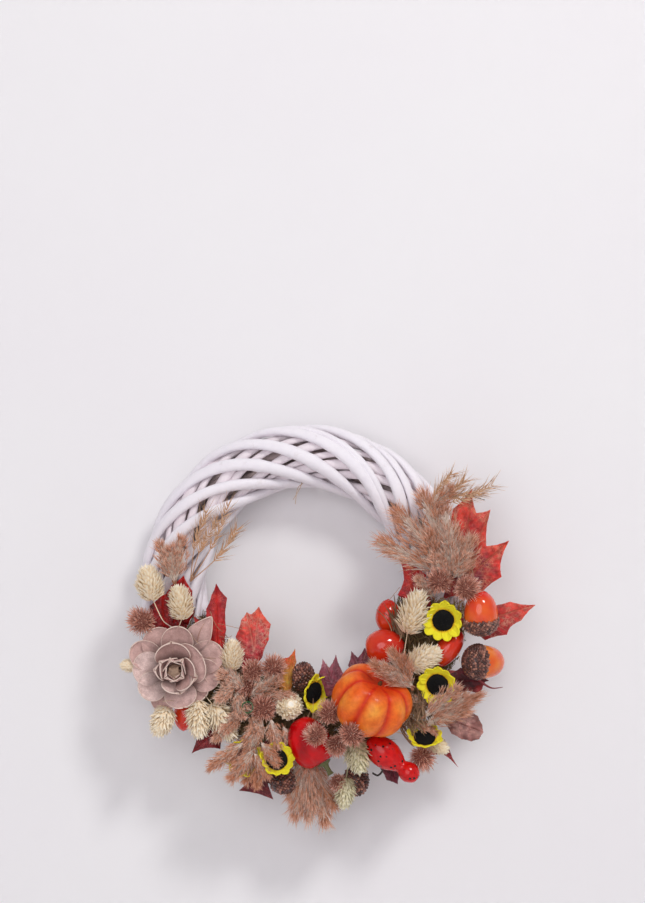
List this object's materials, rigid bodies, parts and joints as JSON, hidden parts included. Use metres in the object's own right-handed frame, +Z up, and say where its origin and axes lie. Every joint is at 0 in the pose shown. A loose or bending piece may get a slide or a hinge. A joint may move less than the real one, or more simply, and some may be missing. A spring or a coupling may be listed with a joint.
{
  "type": "harvest door wreath",
  "caption": "Woven white willow ring dressed along its lower part with autumn leaves, a pumpkin, acorns, felt sunflowers, a wooden rose and dried grasses, to hang on a door.",
  "frame": {"origin": "the point at the inner top of the woven ring where a door hook carries it", "axes": "+Z up as the wreath hangs, +X to the right seen from the front, -Y out of the door towards the viewer"},
  "size_m": [0.3649, 0.1357, 0.3786],
  "materials": {
    "willow": "white paint over willow bark, satin, thin in the crevices",
    "moss": "tangled dry moss and hay, matte",
    "sola": "dyed sola wood shavings, matte",
    "yellow_felt": "stiff felt, matte",
    "black_felt": "rough felt pile, matte",
    "pumpkin_skin": "painted foam, low gloss",
    "red_gloss": "lacquered, high gloss",
    "nut_gloss": "lacquered, shaded yellow to red, high gloss",
    "green_stem": "moulded, matte",
    "beaded_brown": "beaded, matte",
    "leaf_red": "printed and embossed cloth leaf, low sheen",
    "leaf_maroon": "printed and embossed cloth leaf, low sheen",
    "leaf_brown": "lacquered leaf, gloss",
    "dried_cream": "dried canary grass, matte",
    "dried_burr": "dried spiny heads, matte",
    "dried_reed": "dried reed and oat, matte"
  },
  "bodies": {
    "root": {"acorn_1_cap": "beaded_brown", "acorn_1_nut": "nut_gloss", "acorn_2_cap": "beaded_brown", "acorn_2_nut": "nut_gloss", "brown_leaf": "leaf_brown", "burrs_bottom": "dried_burr", "burrs_inner_left": "dried_burr", "burrs_upper_right": "dried_burr", "canary_grass_bottom": "dried_cream", "canary_grass_left": "dried_cream", "canary_grass_lower_left": "dried_cream", "canary_grass_right": "dried_cream", "core_hoop": "willow", "curled_red_leaf": "leaf_red", "glossy_nut_1": "nut_gloss", "glossy_nut_2": "nut_gloss", "glossy_nut_3": "nut_gloss", "glossy_nut_4": "nut_gloss", "inner_rod_1": "willow", "inner_rod_2": "willow", "inner_rod_3": "willow", "maple_leaf_bottom": "leaf_red", "maple_leaf_inner_left": "leaf_red", "maple_leaf_inner_right": "leaf_red", "maple_leaf_left": "leaf_red", "maple_leaf_right": "leaf_red", "maple_leaf_spike": "leaf_red", "maple_leaf_upper_right": "leaf_red", "maroon_leaf": "leaf_maroon", "moss_bed": "moss", "oat_spray_left": "dried_reed", "outer_rod_1": "willow", "outer_rod_2": "willow", "outer_rod_3": "willow", "outer_rod_4": "willow", "pumpkin": "pumpkin_skin", "red_pepper": "red_gloss", "red_pepper_stem": "green_stem", "reed_bunch_right": "dried_reed", "reed_plume_bottom": "dried_reed", "reed_plume_right": "dried_reed", "rose_bud": "sola", "rose_inner_petals": "sola", "rose_outer_petals": "sola", "small_cone_1": "beaded_brown", "small_cone_2": "beaded_brown", "spotted_gourd": "red_gloss", "star_leaf": "leaf_maroon", "sunflower_1_disc": "black_felt", "sunflower_1_petals": "yellow_felt", "sunflower_2_disc": "black_felt", "sunflower_2_petals": "yellow_felt", "sunflower_3_disc": "black_felt", "sunflower_3_petals": "yellow_felt", "sunflower_4_disc": "black_felt", "sunflower_4_petals": "yellow_felt", "sunflower_5_disc": "black_felt", "sunflower_5_petals": "yellow_felt", "sunflower_6_disc": "black_felt", "sunflower_6_petals": "yellow_felt"}
  },
  "joints": []
}
